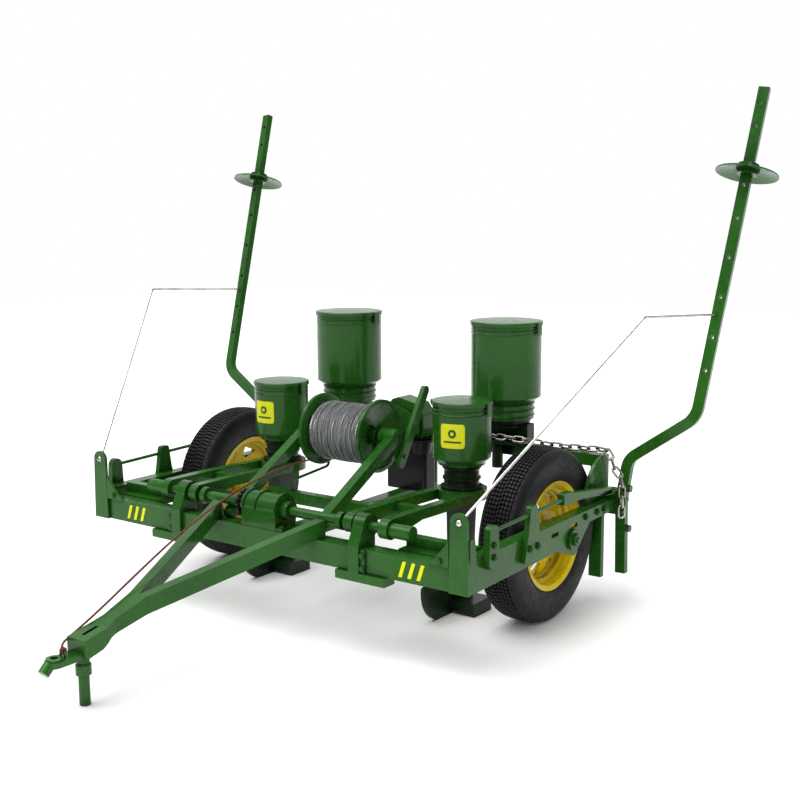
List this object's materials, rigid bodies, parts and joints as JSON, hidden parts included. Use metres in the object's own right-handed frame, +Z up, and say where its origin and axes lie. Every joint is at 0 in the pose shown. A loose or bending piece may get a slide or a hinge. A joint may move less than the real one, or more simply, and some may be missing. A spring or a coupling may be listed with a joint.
{
  "type": "corn planter",
  "caption": "Trailed row-crop planter with seed and fertiliser cans, check-wire reel, rubber-tyred wheels and swing-up row markers.",
  "frame": {"origin": "on the ground, at the middle of the overall width and the overall length", "axes": "+X towards the machine's left-hand side, +Y towards the rear, +Z up"},
  "size_m": [2.9004, 2.6588, 2.1066],
  "materials": {
    "green_enamel": "gloss",
    "dark_green": "satin",
    "yellow_enamel": "gloss",
    "tyre": "matte",
    "bare_steel": "satin",
    "black_steel": "satin",
    "cord": "matte",
    "wire": "satin"
  },
  "bodies": {
    "chassis": {"front_bar": "green_enamel", "rear_bar": "green_enamel", "cross_bar": "green_enamel", "centre_rail": "green_enamel", "tongue_nose": "green_enamel", "tongue_bar_left": "green_enamel", "tongue_bar_right": "green_enamel", "reel_arm_left": "green_enamel", "reel_arm_right": "green_enamel", "clutch_housing": "green_enamel", "lift_housing": "green_enamel", "chain_case": "black_steel", "axles": "green_enamel", "stay_rods": "green_enamel", "fert_bases": "dark_green", "front_bracket_left": "green_enamel", "front_bracket_right": "green_enamel", "side_frame_left": "green_enamel", "side_frame_right": "green_enamel", "rear_corner_left": "green_enamel", "rear_corner_right": "green_enamel", "unit_clamp_left": "green_enamel", "unit_clamp_right": "green_enamel", "fert_can_left": "green_enamel", "fert_can_right": "green_enamel", "trip_rope": "cord", "lift_chain": "bare_steel", "frame_bolts": "green_enamel"},
    "reel": {"reel_spool": "green_enamel", "reel_cable": "wire"},
    "lift_shaft": {"rock_shaft": "green_enamel", "clutch_sprocket": "black_steel"},
    "lever": {"hand_lever": "green_enamel"},
    "trip": {"trip_lever": "bare_steel"},
    "jack": {"jack_leg": "green_enamel"},
    "wheel_left_body": {"wheel_left": "yellow_enamel", "tyre_left": "tyre"},
    "marker_left": {"marker_arm_left": "green_enamel", "brace_rod_left": "bare_steel"},
    "disc_left": {"marker_disc_left": "green_enamel"},
    "row_left": {"unit_frame_left": "green_enamel", "runner_left": "dark_green", "seed_base_left": "dark_green", "seed_can_left": "green_enamel"},
    "plate_left": {"seed_plate_left": "bare_steel"},
    "seed_cover_left": {"seed_lid_left": "green_enamel"},
    "fert_cover_left": {"fert_lid_left": "green_enamel"},
    "wheel_right_body": {"wheel_right": "yellow_enamel", "tyre_right": "tyre"},
    "marker_right": {"marker_arm_right": "green_enamel", "brace_rod_right": "bare_steel"},
    "disc_right": {"marker_disc_right": "green_enamel"},
    "row_right": {"unit_frame_right": "green_enamel", "runner_right": "dark_green", "seed_base_right": "dark_green", "seed_can_right": "green_enamel"},
    "plate_right": {"seed_plate_right": "bare_steel"},
    "seed_cover_right": {"seed_lid_right": "green_enamel"},
    "fert_cover_right": {"fert_lid_right": "green_enamel"}
  },
  "joints": [
    {"name": "reel_spin", "type": "hinge", "parent": "chassis", "child": "reel", "pos_m": [0, 0.29216, 0.7], "axis": [1, 0, 0], "continuous": true},
    {"name": "rock_shaft_turn", "type": "hinge", "parent": "chassis", "child": "lift_shaft", "pos_m": [0, -0.20784, 0.48], "axis": [1, 0, 0], "range_deg": [-4, 14]},
    {"name": "hand_lever_swing", "type": "hinge", "parent": "chassis", "child": "lever", "pos_m": [0.257, 0.31016, 0.625], "axis": [1, 0, 0], "range_deg": [-15, 30]},
    {"name": "trip_lever_swing", "type": "hinge", "parent": "chassis", "child": "trip", "pos_m": [0.036, 0.55416, 0.664], "axis": [1, 0, 0], "range_deg": [0, 12]},
    {"name": "jack_slide", "type": "slide", "parent": "chassis", "child": "jack", "axis": [0, 0, 1], "range_m": [0, 0.06]},
    {"name": "wheel_spin_left", "type": "hinge", "parent": "chassis", "child": "wheel_left_body", "pos_m": [0.802, 0.47216, 0.35], "axis": [1, 0, 0], "continuous": true},
    {"name": "marker_swing_left", "type": "hinge", "parent": "chassis", "child": "marker_left", "pos_m": [0.957, 0.89716, 0.422], "axis": [0.0339, 0.9912, -0.1278], "range_deg": [0, 85]},
    {"name": "disc_spin_left", "type": "hinge", "parent": "marker_left", "child": "disc_left", "pos_m": [1.32525, 1.20841, 1.775], "axis": [0.052, 0.3037, 0.9513], "continuous": true},
    {"name": "row_lift_left", "type": "hinge", "parent": "chassis", "child": "row_left", "pos_m": [0.4825, -0.20784, 0.48], "axis": [1, 0, 0], "range_deg": [-4, 14]},
    {"name": "seed_plate_spin_left", "type": "hinge", "parent": "row_left", "child": "plate_left", "pos_m": [0.4825, 0.40516, 0.6], "axis": [0, 0, 1], "continuous": true},
    {"name": "seed_lid_hinge_left", "type": "hinge", "parent": "row_left", "child": "seed_cover_left", "pos_m": [0.3495, 0.40516, 0.854], "axis": [0, -1, 0], "range_deg": [0, 110]},
    {"name": "fert_lid_hinge_left", "type": "hinge", "parent": "chassis", "child": "fert_cover_left", "pos_m": [0.265, 0.83216, 1.136], "axis": [0, -1, 0], "range_deg": [0, 110]},
    {"name": "wheel_spin_right", "type": "hinge", "parent": "chassis", "child": "wheel_right_body", "pos_m": [-0.802, 0.47216, 0.35], "axis": [1, 0, 0], "continuous": true},
    {"name": "marker_swing_right", "type": "hinge", "parent": "chassis", "child": "marker_right", "pos_m": [-0.957, 0.89716, 0.422], "axis": [0.0339, -0.9912, 0.1278], "range_deg": [0, 85]},
    {"name": "disc_spin_right", "type": "hinge", "parent": "marker_right", "child": "disc_right", "pos_m": [-1.32525, 1.20841, 1.775], "axis": [-0.052, 0.3037, 0.9513], "continuous": true},
    {"name": "row_lift_right", "type": "hinge", "parent": "chassis", "child": "row_right", "pos_m": [-0.4825, -0.20784, 0.48], "axis": [1, 0, 0], "range_deg": [-4, 14]},
    {"name": "seed_plate_spin_right", "type": "hinge", "parent": "row_right", "child": "plate_right", "pos_m": [-0.4825, 0.40516, 0.6], "axis": [0, 0, 1], "continuous": true},
    {"name": "seed_lid_hinge_right", "type": "hinge", "parent": "row_right", "child": "seed_cover_right", "pos_m": [-0.6155, 0.40516, 0.854], "axis": [0, -1, 0], "range_deg": [0, 110]},
    {"name": "fert_lid_hinge_right", "type": "hinge", "parent": "chassis", "child": "fert_cover_right", "pos_m": [-0.595, 0.83216, 1.136], "axis": [0, -1, 0], "range_deg": [0, 110]}
  ],
  "couplings": [
    {"joint": "row_lift_left", "follows": "rock_shaft_turn", "ratio": 1},
    {"joint": "seed_plate_spin_left", "follows": "wheel_spin_left", "ratio": 0.5},
    {"joint": "row_lift_right", "follows": "rock_shaft_turn", "ratio": 1},
    {"joint": "seed_plate_spin_right", "follows": "wheel_spin_right", "ratio": 0.5}
  ]
}
